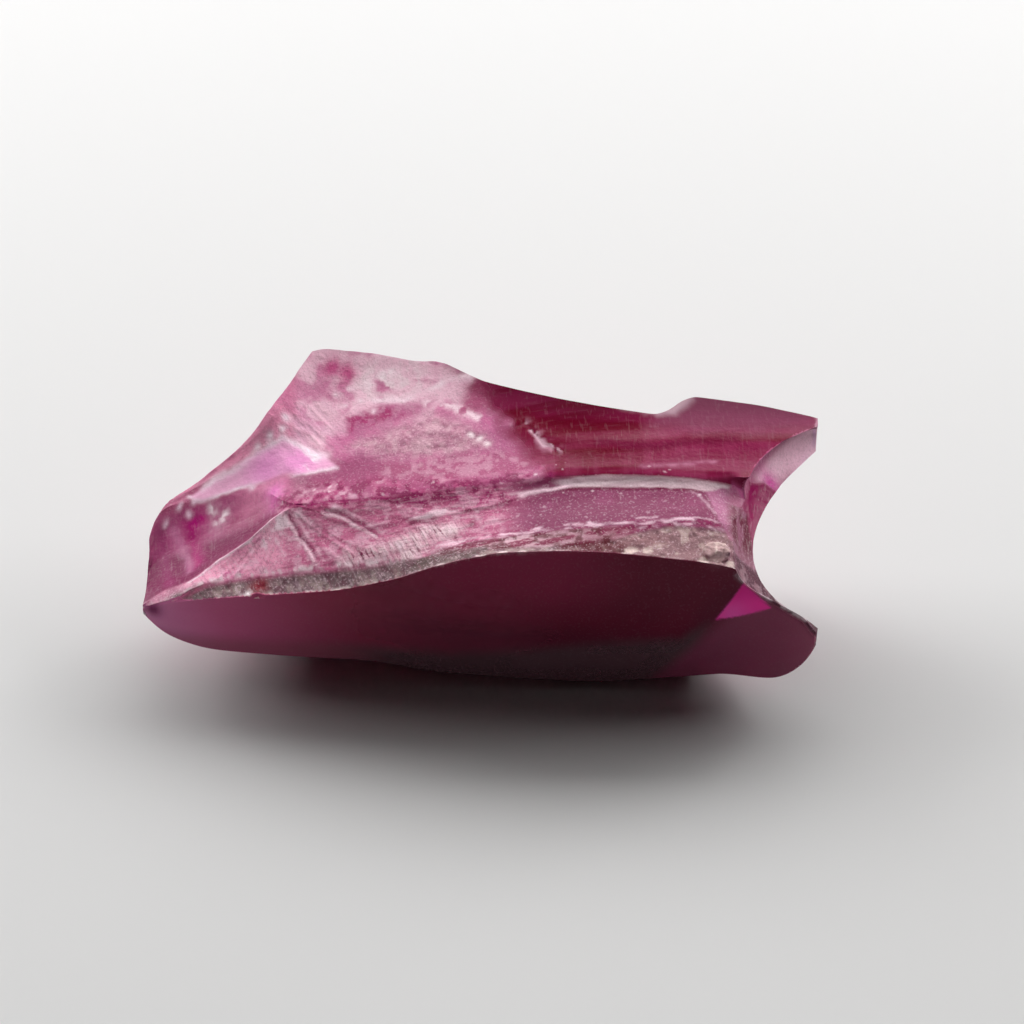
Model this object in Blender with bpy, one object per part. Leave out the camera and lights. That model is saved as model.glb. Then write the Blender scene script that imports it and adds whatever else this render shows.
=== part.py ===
"""Raw ruby crystal: one broken piece of deep red corundum, 30 mm long, 13 mm deep and 10 mm high.

The piece is a single solid. Its skin is lofted across the break lines that run along it from the left
tip to the right end. Two hollow bites then shape the right end, two shallow ones hollow the back, a
chip is broken out of the front edge and a small knob is left standing on it. X runs along the piece,
Y from its smooth front face to its back, and Z up from the flat that it rests on.
"""

import bpy
import numpy as np
from mathutils import Euler, Vector

MM = 0.001

LEFT_END = -14.9  # mm, where the loft starts
RIGHT_END = 15.05  # mm, where it stops
STATION = 0.55  # mm between sections of the loft
END_STATIONS = (-14.7, -14.5, -14.2, 14.1, 14.3, 14.65, 14.75, 14.83, 14.9)  # mm, more sections where it closes
BEND = 0.35  # mm either side over which a break line turns from one stretch to the next

# Each break line is a run of corners (x, y, z) in mm, from the left tip to the right end. They come in
# order round a section, up the front, back over the top and down the back.
BREAK_LINES = {
    "front_foot": [
        (-14.9, -4.8, 3.35), (-14.2, -5.1, 2.6), (-13.3, -5.2, 2.1), (-12.0, -5.4, 1.75), (-8.0, -5.6, 1.5),
        (-4.7, -5.7, 1.4), (-2.2, -5.8, 0.8), (1.8, -6.0, 0.6), (5.0, -6.0, 0.35), (8.0, -6.1, 0.7),
        (10.8, -6.4, 1.25), (12.8, -6.7, 1.2), (13.5, -6.7, 1.3), (14.1, -6.6, 1.8), (14.6, -6.5, 2.5),
        (14.85, -6.3, 3.1), (15.05, -1.0, 5.0),
    ],
    "front_edge": [
        (-14.9, -4.9, 3.7), (-13.5, -5.2, 4.4), (-10.1, -5.5, 5.0), (-6.1, -5.7, 5.5), (-3.5, -5.8, 6.3),
        (-2.2, -5.9, 7.0), (-0.4, -6.0, 7.65), (0.9, -6.0, 7.95), (3.5, -6.0, 8.05), (5.6, -6.0, 7.95),
        (9.5, -6.2, 7.6), (11.2, -6.3, 7.3), (12.4, -6.3, 5.7), (13.2, -6.35, 5.15), (14.0, -6.4, 4.7),
        (14.4, -6.4, 4.2), (14.7, -6.4, 3.7), (14.85, -6.3, 3.2), (15.05, -1.0, 5.2),
    ],
    "bruise": [
        (-14.9, -4.85, 3.8), (-13.5, -5.1, 4.5), (-12.3, -4.7, 5.0), (-10.6, -4.5, 5.2), (-8.4, -4.6, 5.6),
        (-6.2, -4.7, 6.0), (-3.5, -4.9, 6.6), (-1.7, -5.1, 7.1), (0.0, -5.2, 7.7), (3.5, -5.1, 8.05),
        (6.1, -4.9, 8.1), (8.7, -4.7, 8.0), (10.7, -4.6, 7.75), (12.0, -4.8, 7.2), (13.5, -5.0, 5.6),
        (14.85, -4.8, 3.8), (15.05, -0.9, 5.5),
    ],
    "lip_foot": [
        (-14.9, -4.85, 3.82), (-13.5, -4.9, 4.5), (-12.3, -4.6, 5.0), (-10.6, -4.3, 5.3), (-8.4, -4.4, 5.7),
        (-6.1, -4.5, 6.1), (-3.5, -4.6, 6.65), (-1.7, -4.5, 6.95), (0.0, -4.5, 7.35), (2.6, -4.5, 7.8),
        (4.3, -4.4, 8.05), (6.1, -4.25, 8.15), (8.7, -4.1, 8.1), (10.6, -4.0, 7.95), (11.3, -4.1, 7.6),
        (12.0, -4.2, 7.1), (13.5, -4.5, 5.7), (14.85, -4.4, 4.2), (15.05, -0.8, 5.7),
    ],
    "lip_top": [
        (-14.9, -4.85, 3.84), (-13.5, -4.75, 4.5), (-12.3, -4.5, 5.0), (-10.6, -4.15, 5.35), (-8.4, -4.3, 5.8),
        (-6.1, -4.4, 6.25), (-3.5, -4.45, 6.85), (-1.7, -4.35, 7.15), (0.0, -4.35, 7.55), (2.6, -4.35, 8.0),
        (4.3, -4.3, 8.2), (6.1, -4.15, 8.3), (8.7, -4.0, 8.25), (10.5, -3.9, 8.1), (11.3, -4.0, 7.7),
        (12.0, -4.1, 7.2), (13.5, -4.3, 5.8), (14.85, -4.2, 4.3), (15.05, -0.7, 5.9),
    ],
    "step_foot": [
        (-14.9, -4.8, 3.9), (-13.9, -4.3, 4.3), (-12.8, -4.2, 4.7), (-11.5, -3.5, 5.4), (-10.2, -3.0, 6.1),
        (-9.3, -2.3, 6.6), (-8.5, -1.8, 7.0), (-6.0, -1.95, 7.25), (-3.5, -2.05, 7.65), (0.0, -2.0, 8.05),
        (3.1, -1.85, 8.35), (5.3, -1.95, 8.4), (7.0, -1.8, 8.4), (8.8, -2.0, 8.4), (9.9, -2.1, 8.35),
        (11.2, -2.0, 7.8), (12.5, -2.0, 7.2), (15.05, -0.6, 6.5),
    ],
    "step_top": [
        (-14.9, -0.9, 4.3), (-14.6, 0.5, 4.9), (-13.3, 0.5, 5.4), (-11.7, 0.3, 5.9), (-10.3, 0.0, 6.4),
        (-9.4, -0.4, 6.7), (-8.5, -1.7, 7.05), (-6.0, -1.85, 7.4), (-3.5, -1.9, 7.85), (0.0, -1.8, 8.3),
        (3.5, -1.7, 8.75), (5.3, -1.7, 8.8), (7.0, -1.7, 8.8), (8.8, -1.75, 8.75), (11.2, -1.7, 8.6),
        (12.5, -1.6, 8.55), (15.05, -0.5, 8.6),
    ],
    "shoulder": [
        (-14.9, -0.8, 4.35), (-14.5, 0.65, 4.95), (-12.7, 1.1, 5.8), (-11.5, 1.3, 6.5), (-10.6, 1.4, 6.9),
        (-9.6, 1.2, 7.2), (-8.6, 0.6, 7.4), (-7.9, -0.2, 7.4), (-6.8, 0.2, 7.6), (-5.0, 1.0, 8.0),
        (-3.0, 1.5, 8.4), (-0.9, 1.5, 8.75), (1.75, 1.5, 9.0), (3.5, 0.5, 9.0), (6.2, 0.3, 9.1),
        (9.7, 0.6, 9.0), (13.3, 0.7, 8.8), (15.05, 1.2, 8.8),
    ],
    "back_edge": [
        (-14.9, -0.7, 4.4), (-14.5, 0.7, 5.0), (-13.1, 1.3, 5.6), (-11.7, 1.7, 6.6), (-10.8, 2.1, 7.2),
        (-9.7, 2.5, 8.0), (-8.6, 4.5, 9.0), (-7.7, 6.4, 9.6), (-5.1, 6.0, 9.6), (-2.8, 5.3, 9.6),
        (-1.9, 5.3, 9.7), (-1.2, 4.7, 9.75), (0.0, 3.8, 9.7), (1.8, 3.1, 9.7), (3.5, 2.5, 9.7),
        (5.3, 2.1, 9.6), (8.0, 1.8, 9.3), (8.6, 2.1, 9.5), (9.2, 2.6, 9.8), (12.5, 2.4, 9.4),
        (14.8, 2.1, 9.0), (15.05, 2.1, 8.9),
    ],
    "back_belly": [
        (-14.9, -0.9, 3.6), (-13.0, 1.4, 4.2), (-10.8, 2.7, 4.6), (-8.6, 5.0, 5.5), (-6.5, 6.6, 5.8),
        (-3.0, 5.9, 5.5), (0.0, 4.6, 5.0), (4.0, 3.4, 5.2), (8.0, 3.0, 5.0), (11.0, 3.3, 5.8),
        (13.0, 3.2, 6.6), (15.05, 3.0, 7.4),
    ],
    "back_foot": [
        (-14.9, -1.2, 3.1), (-13.0, 0.4, 2.6), (-10.8, 1.6, 1.8), (-8.6, 3.4, 1.4), (-6.5, 4.9, 1.3),
        (-3.0, 4.4, 1.2), (0.0, 3.6, 1.0), (4.0, 2.6, 1.0), (8.0, 2.3, 1.2), (11.0, 2.6, 2.4),
        (13.0, 3.0, 4.0), (15.05, 3.2, 5.6),
    ],
    "rest_back": [
        (-14.9, -2.2, 2.9), (-12.0, -0.6, 1.6), (-9.0, 1.2, 0.5), (-7.2, 2.6, 0.0), (-3.0, 2.6, 0.0),
        (0.0, 2.2, 0.0), (4.0, 1.6, 0.0), (9.0, 1.2, 0.0), (11.0, 1.2, 1.0), (13.0, 1.6, 3.0),
        (15.05, 2.0, 4.8),
    ],
    "rest_front": [
        (-14.9, -4.2, 2.9), (-12.0, -4.3, 1.4), (-9.5, -3.9, 0.6), (-7.5, -3.6, 0.0), (-4.7, -3.9, 0.0),
        (-2.2, -4.6, 0.0), (1.8, -5.0, 0.0), (5.0, -5.2, 0.0), (9.5, -4.9, 0.0), (11.0, -5.6, 0.8),
        (13.0, -6.1, 1.1), (14.6, -6.0, 2.6), (14.85, -5.6, 3.0), (15.05, -0.8, 4.9),
    ],
}

# The faces between neighbouring lines: how many strips each is cut into, and how hollow it is, as a
# share of its width. A negative share swells.
FACES = {
    "front_foot": (7, -0.03),
    "front_edge": (2, 0.04),
    "bruise": (1, 0.0),
    "lip_foot": (1, 0.0),
    "lip_top": (5, 0.05),
    "step_foot": (5, 0.16),
    "step_top": (4, 0.04),
    "shoulder": (7, 0.06),
    "back_edge": (6, 0.06),
    "back_belly": (6, 0.05),
    "back_foot": (4, -0.04),
    "rest_back": (7, 0.0),
    "rest_front": (3, 0.0),
}

# Ellipsoids that shape the skin: how each acts, its centre and radii in mm, its turns in degrees.
SCOOPS = {
    "bite_from_above": ("DIFFERENCE", (25.8, -12.05, 3.3), (18.7, 3.22, 10.95), (-90.8, 15.9, -45.6)),
    "bite_from_below": ("DIFFERENCE", (29.45, 7.3, 3.2), (6.44, 21.7, 21.7), (-29.7, 43.9, -60.1)),
    "back_hollow_left": ("DIFFERENCE", (-3.4, 12.7, 5.4), (7.0, 7.0, 6.0), (0.0, 0.0, 0.0)),
    "back_hollow_right": ("DIFFERENCE", (6.2, 10.0, 3.6), (9.0, 7.4, 5.0), (0.0, 0.0, 8.0)),
    "edge_chip": ("DIFFERENCE", (-9.9, -5.75, 5.1), (0.62, 0.4, 0.35), (0.0, 10.0, 0.0)),
    "edge_knob": ("UNION", (10.2, -5.55, 7.5), (0.75, 0.6, 0.5), (0.0, 0.0, 0.0)),
}


def along(line, x):
    """The point of a break line at x, rounded where the line turns."""
    xs, ys, zs = np.array(line).T
    bend = min(BEND, x - LEFT_END, 0.4 * (RIGHT_END - x))
    near = x + np.linspace(-bend, bend, 9)
    return np.array([np.interp(near, xs, ys).mean(), np.interp(near, xs, zs).mean()])


def section(x):
    """The closed outline of the piece at x, as points in space."""
    names = list(BREAK_LINES)
    ring = []
    for name, after in zip(names, names[1:] + names[:1]):
        strips, hollow = FACES[name]
        start = along(BREAK_LINES[name], x)
        end = along(BREAK_LINES[after], x)
        inwards = np.array([end[1] - start[1], start[0] - end[0]])
        for t in np.arange(strips) / strips:
            y, z = start + (end - start) * t + inwards * hollow * 4 * t * (1 - t)
            ring.append((x * MM, y * MM, z * MM))
    return ring


def new_collection(name):
    made = bpy.data.collections.new(name)
    bpy.context.scene.collection.children.link(made)
    return made


def lofted_body(home):
    """The skin across the sections, closed by a flat face at each end."""
    evenly = np.linspace(LEFT_END, RIGHT_END, round((RIGHT_END - LEFT_END) / STATION) + 1)
    stations = sorted([*evenly, *END_STATIONS])
    count = len(stations)
    rings = [section(x) for x in stations]
    size = len(rings[0])
    faces = [tuple(range(size))[::-1], tuple(range((count - 1) * size, count * size))]
    for i in range(count - 1):
        for k in range(size):
            a, b = i * size + k, i * size + (k + 1) % size
            faces.append((a, b, b + size, a + size))
    mesh = bpy.data.meshes.new("ruby_crystal")
    mesh.from_pydata([point for ring in rings for point in ring], [], faces)
    body = bpy.data.objects.new("ruby_crystal", mesh)
    home.objects.link(body)
    return body


def scoop(body, name, home):
    """Takes one ellipsoid out of the body, or adds it."""
    operation, centre, radii, turns = SCOOPS[name]
    fine = 72 if max(radii) > 5 else 16
    bpy.ops.mesh.primitive_uv_sphere_add(segments=fine, ring_count=fine // 2, radius=1)
    tool = bpy.context.object
    tool.name = name
    tool.scale = Vector(radii) * MM
    tool.rotation_euler = Euler(np.radians(turns))
    tool.location = Vector(centre) * MM
    for owner in tool.users_collection:
        owner.objects.unlink(tool)
    home.objects.link(tool)
    tool.hide_render = True
    tool.display_type = "WIRE"
    change = body.modifiers.new(name, "BOOLEAN")
    change.operation = operation
    change.object = tool


def centre_over_rest(body, tools):
    """Moves the body and its tools so that the middle of its bounding box is over the origin."""
    bpy.context.view_layer.update()
    shaped = body.evaluated_get(bpy.context.evaluated_depsgraph_get())
    corners = np.array([shaped.matrix_world @ Vector(corner) for corner in shaped.bound_box])
    middle = (corners.min(axis=0) + corners.max(axis=0)) / 2
    for thing in [body, *tools.objects]:
        thing.location.x -= middle[0]
        thing.location.y -= middle[1]


def ruby():
    material = bpy.data.materials.new("ruby")
    material.use_nodes = True
    surface = material.node_tree.nodes["Principled BSDF"]
    surface.inputs["Base Color"].default_value = (0.32, 0.02, 0.11, 1.0)
    surface.inputs["Roughness"].default_value = 0.2
    surface.inputs["Metallic"].default_value = 0.0
    surface.inputs["IOR"].default_value = 1.77
    return material


def main():
    for thing in list(bpy.data.objects):
        bpy.data.objects.remove(thing)
    parts = new_collection("raw_ruby_crystal")
    tools = new_collection("cutters")
    tools.hide_render = True
    body = lofted_body(parts)
    body.data.materials.append(ruby())
    for name in SCOOPS:
        scoop(body, name, tools)
    centre_over_rest(body, tools)


main()
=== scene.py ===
"""Raw ruby crystal: the looks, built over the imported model. Lengths are in millimetres unless said."""

import math

import bmesh
import bpy
import numpy as np
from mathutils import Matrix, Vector


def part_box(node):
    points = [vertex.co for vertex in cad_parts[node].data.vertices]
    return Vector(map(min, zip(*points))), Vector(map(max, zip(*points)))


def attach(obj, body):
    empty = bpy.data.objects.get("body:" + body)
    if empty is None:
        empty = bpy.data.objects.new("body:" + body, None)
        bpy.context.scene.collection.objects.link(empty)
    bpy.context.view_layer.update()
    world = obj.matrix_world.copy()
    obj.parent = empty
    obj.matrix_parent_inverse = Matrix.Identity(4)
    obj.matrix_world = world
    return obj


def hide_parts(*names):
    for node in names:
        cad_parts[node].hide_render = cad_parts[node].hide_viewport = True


MM = 0.001
WELD = 0.05  # corners closer than this are one, so that no sliver is left
SHORTEST = 0.02  # an edge shorter than this is taken out
SPLITS = (1.2, 0.8, 0.55, 0.4, 0.29, 0.21, 0.16, 0.139)  # the longest edge left on the top after each pass
CREASE = math.radians(28.0)  # faces that meet more sharply keep a crisp edge
AIR = 0.03  # between the resting face and the paper, so that the clear stone stays off it
CLEAR = np.array([0.92, 0.74, 0.85])  # the stone before any paint
PALE = (0.80, 0.58, 0.66, 1.0)  # dust and scratches
DEEP = (0.20, 0.02, 0.07, 1.0)  # pits and gaps
SHEEN = 0.018  # the light that a dull face reflects besides its own colour
FRONT_SHEEN = 0.004  # the same where less than full light falls
LIT = 1.0  # how bright pure white looks on top of the stone
KNEE_LIT = 0.7  # on the corner above its right-hand wall
FRONT_LIT = 0.42  # and on its front, which faces away from the windows
RUBY_IOR = 1.77
PASSES = (0.71, 0.14, 0.5, 1.0)  # the colour that the clear stone lets through
ABSORPTION = 720.0  # per metre
BUMP = 0.00006  # metres
# How far each fine line pattern is turned, in degrees seen from above.
TURNS = {"streak": 4.0, "comb": 115.0, "feather": -51.0, "thread": 91.0}
TARGET = (1.315, 0.345, 5.0)  # what the camera looks at
CAMERA_AWAY = 160.0
CAMERA_UP = 40.0  # degrees above the floor
FOCAL_LENGTH = 125.0
SENSOR = 36.0
LAMPS_AWAY = 280.0
LAMPS_AIM = (0.0, 0.0, 4.0)
PAPER = 0.6  # metres, from the middle of the sheet to its edges

FAN_POINT = (-8.6, -1.6)  # where the fan's rays start, seen from above
SHELLS = (-3.0, 9.5)  # the middle of the back's shell-like ripples, as (x, z)
SHELL_WAVES = 2.6  # radians in a millimetre
SWELLING = (-9.6, 3.0, 8.3)  # the middle of the rise on the left shoulder
KNOB = (10.2, -5.6, 8.0)  # the middle of the pale lump at the right end of the front edge
KNOB_SIZE = 0.6

# Lines seen from above, as (x, y): where the top's faces meet.
FRONT_EDGE = [(-15.0, -4.8), (-13.6, -5.1), (-10.2, -5.4), (-6.2, -5.6), (-2.3, -5.8), (3.4, -5.9),
              (11.3, -6.2)]
BRUISE = [(-15.0, -4.8), (-13.6, -5.0), (-12.4, -4.6), (-10.7, -4.4), (-8.5, -4.5), (-6.3, -4.6),
          (-3.6, -4.9), (-1.6, -5.2), (0.4, -5.6), (2.5, -5.65), (4.5, -5.6), (5.6, -5.35), (7.3, -4.65),
          (8.5, -4.4), (10.6, -4.45), (12.0, -4.7)]
LIP = [(-15.0, -4.8), (-8.5, -4.3), (-6.2, -4.35), (-3.6, -4.45), (0.0, -4.35), (4.2, -4.25), (8.6, -3.95),
       (11.2, -3.9), (13.0, -4.2)]
STEP = [(-15.0, -4.7), (-14.0, -4.2), (-12.9, -4.1), (-11.6, -3.4), (-10.3, -2.9), (-9.4, -2.2), (-8.6, -1.7),
        (-3.6, -1.85), (0.0, -1.8), (3.2, -1.7), (7.0, -1.65), (9.9, -1.8), (11.2, -1.8), (13.0, -1.7)]
SHOULDER = [(-15.0, -0.7), (-14.6, 0.75), (-12.8, 1.2), (-10.7, 1.5), (-9.7, 1.3), (-8.7, 0.7), (-8.0, -0.1),
            (-6.9, 0.3), (-5.1, 1.1), (-3.1, 1.6), (1.7, 1.6), (3.4, 0.6), (6.1, 0.4), (9.6, 0.7),
            (13.2, 0.8)]

# Marks on the top seen from above, and the front's rim and the top of its band of painted shade as (x, z).
LEDGE_WISP = [(-3.1, -2.9), (-1.6, -2.7), (-0.1, -2.6), (1.2, -2.4), (2.1, -2.2), (3.2, -2.0), (4.3, -1.8)]
CRACKS = [[(-8.6, -1.9), (-8.0, -3.0), (-7.1, -4.3)],
          [(-6.9, -2.0), (-6.0, -2.3), (-5.3, -2.8), (-4.5, -3.4)]]
SMEARS = [[(-5.8, -4.3), (-4.5, -4.35), (-3.4, -4.0), (-2.3, -3.6), (-1.2, -3.7)],
          [(-4.4, -5.4), (-3.6, -5.0), (-2.6, -4.3)]]
SCAR = [(1.4, 1.5), (1.9, 1.75), (2.3, 1.1), (2.8, 0.4), (3.3, -0.1)]
GRANULAR = [(-6.1, 1.3), (-5.5, 1.8), (-3.7, 2.2), (-2.4, 2.7), (-1.5, 2.5), (-0.1, 1.3), (0.4, 0.7),
            (-1.0, 0.2), (-2.8, 0.4), (-4.6, 0.6)]
DARK_POOL = [(2.6, 0.2), (4.6, -1.2), (7.0, -1.0), (7.4, 0.6), (7.0, 1.8), (4.6, 2.4), (3.0, 2.2)]
FIN_RIM = [(11.1, 6.9), (11.7, 6.3), (12.2, 5.8), (12.7, 5.4), (13.2, 5.05), (14.1, 4.4), (14.6, 3.6)]
SHADE_BAND_TOP = [(-15.0, 2.6), (-5.8, 2.4), (-1.4, 2.1), (3.4, 2.6), (6.1, 2.9), (8.7, 3.2), (10.0, 4.4)]
WALL = [(10.3, -2.6), (11.8, -2.4), (11.7, -2.7), (11.9, -3.8), (12.2, -5.3), (11.3, -5.6), (10.3, -4.9)]
WINDOW = [(11.75, -1.1), (12.5, -0.5), (13.6, -0.6), (13.6, -4.4), (11.95, -4.4), (11.7, -2.7)]
PALE_FACET = [(-13.3, 0.75), (-12.7, 0.4), (-10.9, 0.45), (-9.0, 0.15), (-8.1, 0.05), (-6.5, 0.25),
              (-7.0, 1.0), (-8.9, 2.1), (-9.9, 1.75), (-11.1, 1.45), (-12.5, 1.05)]


def cross(line, x):
    """The line's y at each x."""
    xs, ys = np.array(line).T
    return np.interp(x, xs, ys)


def step(low, high, value):
    """0 below low and 1 above high, with a soft rise between them."""
    t = np.clip((value - low) / (high - low), 0.0, 1.0)
    return t * t * (3.0 - 2.0 * t)


def window(value, low, high, soft):
    """1 from low to high, with soft ends."""
    return step(low - soft, low + soft, value) * (1.0 - step(high - soft, high + soft, value))


def lattice(cell, seed):
    """A repeatable number from -1 to 1 for each whole-number cell."""
    big = cell.astype(np.int64)
    mixed = big[:, 0] * 73856093 ^ big[:, 1] * 19349663 ^ big[:, 2] * 83492791 ^ seed * 2654435761
    mixed = (mixed ^ (mixed >> 13)) * 1274126177
    mixed = (mixed ^ (mixed >> 16)) * 668265263
    return ((mixed ^ (mixed >> 15)) & 0xFFFFF) / 524287.5 - 1.0


def grain(points, size, seed):
    """Smooth noise from -1 to 1 with this feature size."""
    scaled = points / np.asarray(size, float)
    cell = np.floor(scaled)
    t = scaled - cell
    t = t * t * t * (t * (t * 6.0 - 15.0) + 10.0)
    total = np.zeros(len(points))
    for corner in range(8):
        offset = np.array([corner & 1, corner >> 1 & 1, corner >> 2 & 1])
        weight = np.prod(np.where(offset, t, 1.0 - t), axis=1)
        total += weight * lattice(cell + offset, seed)
    return total


def fractal(points, size, seed, octaves=4):
    """Smooth noise from -1 to 1 with finer and finer noise on it."""
    total, height, most = np.zeros(len(points)), 1.0, 0.0
    for octave in range(octaves):
        total += height * grain(points + 7.3 * octave, np.asarray(size, float) / 2.03**octave, seed + octave)
        most += height
        height *= 0.5
    return total / most


def ridged(points, size, seed, octaves=3):
    """Sharp crests between rounded hollows, from 0 to 1."""
    total, height, most = np.zeros(len(points)), 1.0, 0.0
    for octave in range(octaves):
        finer = np.asarray(size, float) / 2.1**octave
        layer = 1.0 - np.abs(grain(points + 3.1 * octave, finer, seed + octave))
        total += height * layer * layer
        most += height
        height *= 0.5
    return total / most


def turned(points, degrees, about="z"):
    """The points turned, so that stretched noise runs along a slant."""
    a = math.radians(degrees)
    c, s = math.cos(a), math.sin(a)
    i, j = {"z": (0, 1), "y": (0, 2), "x": (1, 2)}[about]
    out = points.copy()
    out[:, i] = c * points[:, i] + s * points[:, j]
    out[:, j] = -s * points[:, i] + c * points[:, j]
    return out


def away_from(plane, start, end):
    """Each point's distance from a straight piece of a line."""
    along = end - start
    t = np.clip(((plane - start) @ along) / (along @ along), 0.0, 1.0)
    return np.linalg.norm(plane - start - t[:, None] * along, axis=1)


def stroke(plane, path, width):
    """1 on a path and fading to 0 a width away, where the points are two columns of a plane."""
    nearest = np.full(len(plane), 1e9)
    corners = np.array(path, float)
    for start, end in zip(corners[:-1], corners[1:]):
        nearest = np.minimum(nearest, away_from(plane, start, end))
    return np.exp(-((nearest / width) ** 2))


def shifted(path, right, back):
    return [(x + right, y + back) for x, y in path]


def patch(plane, outline, soft):
    """1 inside an outline, fading to 0 across a soft border."""
    corners = np.array(outline, float)
    nearest = np.full(len(plane), 1e9)
    within = np.zeros(len(plane), bool)
    px, py = plane.T
    for start, end in zip(corners, np.roll(corners, -1, axis=0)):
        along = end - start
        nearest = np.minimum(nearest, away_from(plane, start, end))
        spans = (start[1] > py) != (end[1] > py)
        if start[1] != end[1]:
            within ^= spans & (px < start[0] + (py - start[1]) * along[0] / along[1])
    return step(-soft, soft, np.where(within, nearest, -nearest))


def dots(plane, places, radius):
    """1 at each place, fading to 0 a radius away."""
    found = np.zeros(len(plane))
    for place in places:
        found = np.maximum(found, np.exp(-np.sum((plane - place) ** 2, axis=1) / radius**2))
    return found


def seen(colour, lit):
    """The pigment that looks like this screen colour where white would look this bright."""
    screen = np.array(colour) / 255.0
    linear = np.where(screen > 0.04, ((screen + 0.055) / 1.055) ** 2.4, screen / 12.92)
    sheen = SHEEN if lit == LIT else FRONT_SHEEN
    return np.maximum(linear - sheen, 0.35 * linear) / lit


def points_of(mesh):
    co = np.zeros(len(mesh.vertices) * 3)
    mesh.vertices.foreach_get("co", co)
    return co.reshape(-1, 3)


def put_points(mesh, co):
    mesh.vertices.foreach_set("co", co.ravel())
    mesh.update()


def normals_of(mesh):
    no = np.zeros(len(mesh.vertices) * 3)
    mesh.vertex_normals.foreach_get("vector", no)
    return no.reshape(-1, 3)


def fine_skin(node):
    """The CAD node's surface in millimetres, split into fine triangles, with its creases marked sharp."""
    form = bmesh.new()
    form.from_mesh(node.data)
    bmesh.ops.scale(form, vec=(1.0 / MM,) * 3, verts=form.verts)
    bmesh.ops.remove_doubles(form, verts=form.verts, dist=WELD)
    bmesh.ops.dissolve_degenerate(form, dist=SHORTEST, edges=form.edges)
    bmesh.ops.triangulate(form, faces=[face for face in form.faces if len(face.verts) > 3])
    form.verts.index_update()
    corners = np.array([corner.co for corner in form.verts])
    faces = np.array([[corner.index for corner in face.verts] for face in form.faces])
    creases = np.array([[corner.index for corner in edge.verts] for edge in form.edges if creased(edge)])
    form.free()
    for longest in SPLITS:
        corners, faces, creases = split(corners, faces, creases, longest)
    skin = bpy.data.meshes.new("ruby_stone")
    skin.from_pydata(corners.tolist(), [], faces.tolist())
    ends = np.zeros(len(skin.edges) * 2, int)
    skin.edges.foreach_get("vertices", ends)
    sharp = np.isin(keys_of(ends.reshape(-1, 2)), keys_of(creases))
    skin.edges.foreach_set("use_edge_sharp", sharp)
    return skin


def creased(edge):
    """Whether the faces meet at a crease; next to a sliver the angle says nothing."""
    narrow = min(face.calc_area() for face in edge.link_faces) < 0.01 * edge.calc_length()
    return not narrow and edge.calc_face_angle(0.0) > CREASE


def keys_of(pairs):
    """One number for each pair of corners, whichever comes first."""
    return pairs.min(axis=1).astype(np.int64) << 32 | pairs.max(axis=1).astype(np.int64)


def split(corners, faces, creases, longest):
    """Halves each edge that is longer than this times its slack, and splits the faces beside it."""
    sides = faces[:, [0, 1, 1, 2, 2, 0]].reshape(-1, 2)
    keys, first, edge = np.unique(keys_of(sides), return_index=True, return_inverse=True)
    ends = sides[first]
    normals = np.cross(corners[faces[:, 1]] - corners[faces[:, 0]],
                       corners[faces[:, 2]] - corners[faces[:, 0]])
    normals /= np.maximum(np.linalg.norm(normals, axis=1), 1e-12)[:, None]
    facing = [np.bincount(edge, np.repeat(normals[:, axis], 3), len(keys)) / 2.0 for axis in (1, 2)]
    length = np.linalg.norm(corners[ends[:, 0]] - corners[ends[:, 1]], axis=1)
    halved = length > longest * slack(corners[ends], *facing)
    middle = np.where(halved, len(corners) + np.cumsum(halved) - 1, -1)
    corners = np.concatenate([corners, corners[ends[halved]].mean(axis=1)])
    at = np.searchsorted(keys, keys_of(creases))
    cut = halved[at]
    halves = [np.stack([creases[cut, side], middle[at[cut]]], axis=1) for side in (0, 1)]
    faces = refaced(corners, faces, middle[edge].reshape(-1, 3))
    return corners, faces, np.concatenate([creases[~cut], *halves])


def refaced(corners, faces, middles):
    """The faces after their edges were halved; a middle is -1 where its edge wasn't."""
    count = (middles >= 0).sum(axis=1)
    # Each face is turned so that its halved edges come first.
    turn = np.where(count == 1, np.argmax(middles >= 0, axis=1), 0)
    turn = np.where(count == 2, (np.argmin(middles, axis=1) + 1) % 3, turn)
    order = (turn[:, None] + np.arange(3)) % 3
    faces, middles = np.take_along_axis(faces, order, 1), np.take_along_axis(middles, order, 1)
    (a, b, c), (ab, bc, ca) = faces.T, middles.T
    first_way = np.linalg.norm(corners[a] - corners[bc], axis=1)
    across = first_way < np.linalg.norm(corners[ab] - corners[c], axis=1)
    one, two, three = count == 1, count == 2, count == 3
    parts = [(count == 0, a, b, c), (one, a, ab, c), (one, ab, b, c), (two | three, ab, b, bc),
             (two & across, a, ab, bc), (two & across, a, bc, c),
             (two & ~across, a, ab, c), (two & ~across, ab, bc, c),
             (three, a, ab, ca), (three, ca, bc, c), (three, ab, bc, ca)]
    return np.concatenate([np.stack([u[kept], v[kept], w[kept]], axis=1) for kept, u, v, w in parts])


def slack(ends, back, up):
    """How much longer than on the top an edge may stay, from where it is and how far its faces look back
    and up. The top and the painted magenta glow in the front carry the finest detail."""
    x, y, z = ends[:, :, 0], ends[:, :, 1], ends[:, :, 2]
    looks_forward = back < -0.6
    front = looks_forward & (y.max(axis=1) < -4.2)
    on_front = np.where((x - 0.8 * z).min(axis=1) > 5.6, 1.0, 2.3)
    elsewhere = np.where(up > 0.25, 1.0, 1.8)
    resting = z.max(axis=1) < 0.02
    return np.where(resting, 3.0, np.where(front, on_front, np.where(looks_forward, 1.0, elsewhere)))


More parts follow.
